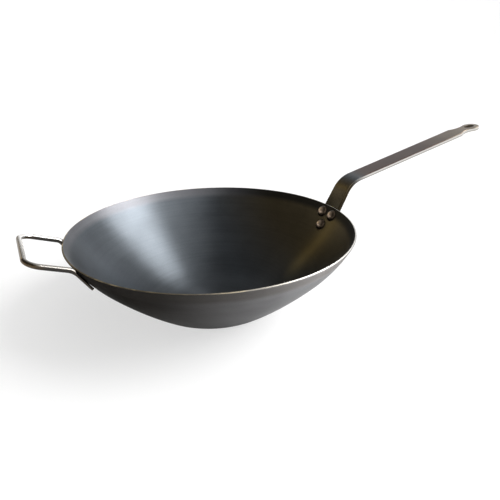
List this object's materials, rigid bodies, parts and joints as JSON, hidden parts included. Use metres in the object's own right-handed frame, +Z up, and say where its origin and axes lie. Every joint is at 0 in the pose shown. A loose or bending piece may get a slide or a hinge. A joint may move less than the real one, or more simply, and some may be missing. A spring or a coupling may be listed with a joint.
{
  "type": "wok",
  "caption": "Round carbon steel wok with a flat base, a riveted strip handle with a hanging eye and a welded rod helper handle.",
  "frame": {"origin": "middle of the flat base's underside", "axes": "+X out along the long handle, +Z up out of the bowl, the helper handle at -X"},
  "size_m": [0.6415, 0.35, 0.1911],
  "materials": {
    "blued_sheet": "spun and blued sheet steel",
    "strip_steel": "satin strip steel",
    "rivet_steel": "pressed steel",
    "steel_rod": "drawn steel rod"
  },
  "bodies": {
    "root": {"bowl": "blued_sheet", "long_handle": "strip_steel", "rivet_upper_left": "rivet_steel", "rivet_upper_right": "rivet_steel", "rivet_lower": "rivet_steel", "helper_handle": "steel_rod"}
  },
  "joints": []
}
